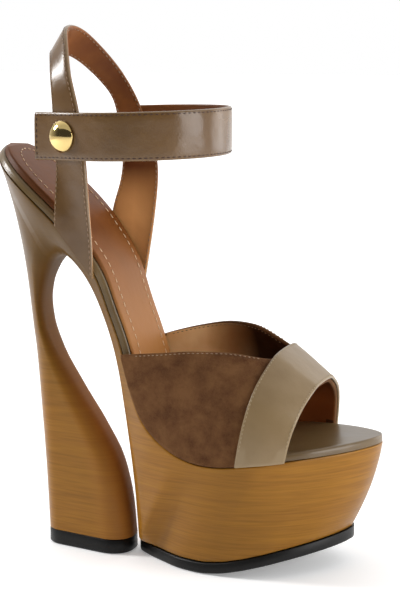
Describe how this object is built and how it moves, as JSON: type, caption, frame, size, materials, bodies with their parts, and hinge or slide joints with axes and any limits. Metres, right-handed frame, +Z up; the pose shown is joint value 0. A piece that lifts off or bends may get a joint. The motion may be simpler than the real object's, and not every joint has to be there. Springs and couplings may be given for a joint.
{
  "type": "platform wedge sandal",
  "caption": "Open-toe platform wedge sandal, right shoe: suede vamp with a leather toe band, sculpted cut-out wood-look heel, ankle strap with a snap and a sling back.",
  "frame": {"origin": "on the floor, on the flat of the forefoot outsole under the ball of the foot", "axes": "+X towards the toe, +Y towards the inner side of the right foot, +Z up"},
  "size_m": [0.1633, 0.0791, 0.2215],
  "materials": {
    "wood_look_unit": "satin lacquer over a fine horizontal wood grain",
    "sole_rubber": "matt black moulded rubber",
    "footbed_leather": "smooth taupe leather wrapped round the board",
    "sock_leather": "tan lining leather, lightly padded",
    "vamp_suede": "brown suede outside, tan lining leather inside",
    "band_leather": "smooth taupe leather with stitched edges",
    "strap_leather": "smooth taupe leather outside, tan lining leather inside",
    "stud_metal": "polished gold plating"
  },
  "bodies": {
    "root": {"platform_and_heel": "wood_look_unit", "forefoot_outsole": "sole_rubber", "heel_lift": "sole_rubber", "insole_board": "footbed_leather", "sock_lining": "sock_leather", "vamp": "vamp_suede", "toe_band": "band_leather", "ankle_straps": "strap_leather", "snap_stud": "stud_metal"}
  },
  "joints": []
}
